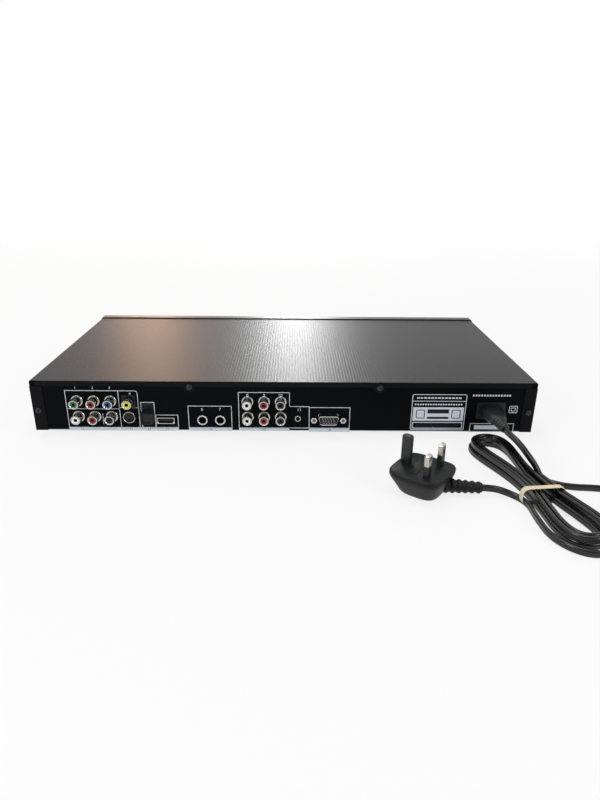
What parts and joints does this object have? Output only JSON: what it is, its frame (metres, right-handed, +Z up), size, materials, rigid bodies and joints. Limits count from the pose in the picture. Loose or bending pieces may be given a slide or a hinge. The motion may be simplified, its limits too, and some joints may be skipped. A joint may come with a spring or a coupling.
{
  "type": "karaoke machine",
  "caption": "Low, wide karaoke player with a sliding disc tray, level knobs, microphone jacks and a full rear socket panel, with its mains lead and plug.",
  "frame": {"origin": "ground under the middle of the machine without its lead, front knobs to rear sockets", "axes": "+Z up, X along the width, the front panel faces -Y and the sockets face +Y"},
  "size_m": [0.4752, 0.4022, 0.054],
  "materials": {
    "black_steel": "fine wrinkle paint, satin",
    "printed_steel": "smooth satin paint",
    "zinc_steel": "zinc plated",
    "black_screw": "black oxide",
    "plain_screw": "zinc plated",
    "front_plastic": "satin moulded ABS",
    "smoked_window": "smoked polished acrylic",
    "foot_rubber": "matt",
    "loader_plastic": "moulded ABS",
    "white_plastic": "natural acetal",
    "motor_steel": "zinc plated",
    "ground_steel": "ground",
    "turntable_rubber": "matt",
    "pickup_metal": "die cast",
    "belt_rubber": "matt",
    "circuit_board": "solder resist",
    "power_circuit_board": "bare laminate",
    "power_components": "mixed parts",
    "ribbon_plastic": "flexible vinyl",
    "socket_black": "moulded",
    "nickel_plate": "bright nickel plate",
    "socket_white": "moulded",
    "socket_red": "moulded",
    "socket_green": "moulded",
    "socket_blue": "moulded",
    "socket_yellow": "moulded",
    "lead_pvc": "satin vinyl",
    "elastic_band": "natural rubber",
    "button_plastic": "silver sprayed",
    "knob_plastic": "satin moulded"
  },
  "bodies": {
    "root": {"chassis_base": "zinc_steel", "rear_panel": "printed_steel", "top_cover": "black_steel", "front_panel": "front_plastic", "display_window": "smoked_window", "feet": "foot_rubber", "cover_screws": "black_screw", "board_screws": "plain_screw", "loader_frame": "loader_plastic", "clamp_bridge": "zinc_steel", "loading_motor": "motor_steel", "loading_belt": "belt_rubber", "main_board": "circuit_board", "audio_board": "circuit_board", "power_board": "power_circuit_board", "power_parts": "power_components", "front_board": "circuit_board", "ribbon_cable": "ribbon_plastic", "phono_housings": "socket_black", "phono_sleeves": "nickel_plate", "phono_white": "socket_white", "phono_red": "socket_red", "phono_green": "socket_green", "phono_blue": "socket_blue", "phono_yellow": "socket_yellow", "phono_black": "socket_black", "round_video_socket": "socket_black", "optical_socket": "socket_black", "hdmi_socket": "nickel_plate", "mic_jacks": "socket_black", "line_jack": "socket_black", "vga_socket": "nickel_plate", "mains_inlet": "socket_black", "lead_connector": "lead_pvc", "mains_lead": "lead_pvc", "cord_hank": "lead_pvc", "plug_lead": "lead_pvc", "cord_band": "elastic_band", "mains_plug": "lead_pvc", "plug_pins": "nickel_plate"},
    "tray": {"disc_tray": "loader_plastic", "tray_front": "front_plastic"},
    "puck": {"clamp_puck": "white_plastic"},
    "lifter": {"lifting_base": "loader_plastic", "spindle_motor": "motor_steel", "guide_rods": "ground_steel", "sled_motor": "motor_steel"},
    "turntable": {"turntable": "turntable_rubber"},
    "pickup": {"optical_pickup": "pickup_metal"},
    "feed_screw": {"lead_screw": "ground_steel"},
    "motor_shaft": {"motor_pulley": "white_plastic"},
    "pulley": {"pulley_gear": "white_plastic"},
    "drive": {"drive_gear": "white_plastic"},
    "shutter": {"optical_shutter": "socket_black"},
    "power_button": {"power_button": "button_plastic"},
    "open_button": {"open_button": "button_plastic"},
    "play_button": {"play_button": "button_plastic"},
    "stop_button": {"stop_button": "button_plastic"},
    "mic_knob": {"mic_knob": "knob_plastic"},
    "echo_knob": {"echo_knob": "knob_plastic"}
  },
  "joints": [
    {"name": "tray_slide", "type": "slide", "parent": "root", "child": "tray", "axis": [0, -1, 0], "range_m": [0, 0.13]},
    {"name": "drive_gear_spin", "type": "hinge", "parent": "root", "child": "drive", "pos_m": [-0.042, -0.07425, 0.037], "axis": [0, 0, 1], "continuous": true},
    {"name": "pulley_spin", "type": "hinge", "parent": "root", "child": "pulley", "pos_m": [-0.0196, -0.07425, 0.027], "axis": [0, 0, 1], "continuous": true},
    {"name": "motor_spin", "type": "hinge", "parent": "root", "child": "motor_shaft", "pos_m": [0.0144, -0.07425, 0.025], "axis": [0, 0, 1], "continuous": true},
    {"name": "lift_pivot", "type": "hinge", "parent": "root", "child": "lifter", "pos_m": [0, 0.06375, 0.029], "axis": [-1, 0, 0], "range_deg": [0, 3.5]},
    {"name": "turntable_spin", "type": "hinge", "parent": "lifter", "child": "turntable", "pos_m": [0, -0.02857, 0.03137], "axis": [0, -0.061, 0.9981], "continuous": true},
    {"name": "puck_spin", "type": "hinge", "parent": "root", "child": "puck", "pos_m": [0, -0.02825, 0.0456], "axis": [0, 0, 1], "continuous": true},
    {"name": "pickup_slide", "type": "slide", "parent": "lifter", "child": "pickup", "axis": [0, 0.9981, 0.061], "range_m": [0, 0.034]},
    {"name": "lead_screw_spin", "type": "hinge", "parent": "lifter", "child": "feed_screw", "pos_m": [0.031, 0.01166, 0.02882], "axis": [0, 0.9981, 0.061], "continuous": true},
    {"name": "shutter_hinge", "type": "hinge", "parent": "root", "child": "shutter", "pos_m": [0.1174, 0.11815, 0.02415], "axis": [-1, 0, 0], "range_deg": [0, 80], "stiffness_Nm_per_rad": 0.0004, "springref_deg": -17.19},
    {"name": "power_button_press", "type": "slide", "parent": "root", "child": "power_button", "axis": [0, 1, 0], "range_m": [0, 0.001], "stiffness_N_per_m": 300, "springref_m": -0.0005},
    {"name": "open_button_press", "type": "slide", "parent": "root", "child": "open_button", "axis": [0, 1, 0], "range_m": [0, 0.001], "stiffness_N_per_m": 300, "springref_m": -0.0005},
    {"name": "play_button_press", "type": "slide", "parent": "root", "child": "play_button", "axis": [0, 1, 0], "range_m": [0, 0.001], "stiffness_N_per_m": 300, "springref_m": -0.0005},
    {"name": "stop_button_press", "type": "slide", "parent": "root", "child": "stop_button", "axis": [0, 1, 0], "range_m": [0, 0.001], "stiffness_N_per_m": 300, "springref_m": -0.0005},
    {"name": "mic_knob_turn", "type": "hinge", "parent": "root", "child": "mic_knob", "pos_m": [0.168, -0.10925, 0.026], "axis": [0, 1, 0], "range_deg": [-150, 150]},
    {"name": "echo_knob_turn", "type": "hinge", "parent": "root", "child": "echo_knob", "pos_m": [0.194, -0.10925, 0.026], "axis": [0, 1, 0], "range_deg": [-150, 150]}
  ],
  "couplings": [
    {"joint": "drive_gear_spin", "follows": "tray_slide", "rad_per_m": 100},
    {"joint": "pulley_spin", "follows": "tray_slide", "rad_per_m": -366.67},
    {"joint": "motor_spin", "follows": "tray_slide", "rad_per_m": -1184.6},
    {"joint": "puck_spin", "follows": "turntable_spin", "ratio": 1},
    {"joint": "lead_screw_spin", "follows": "pickup_slide", "rad_per_m": 2094.4}
  ]
}
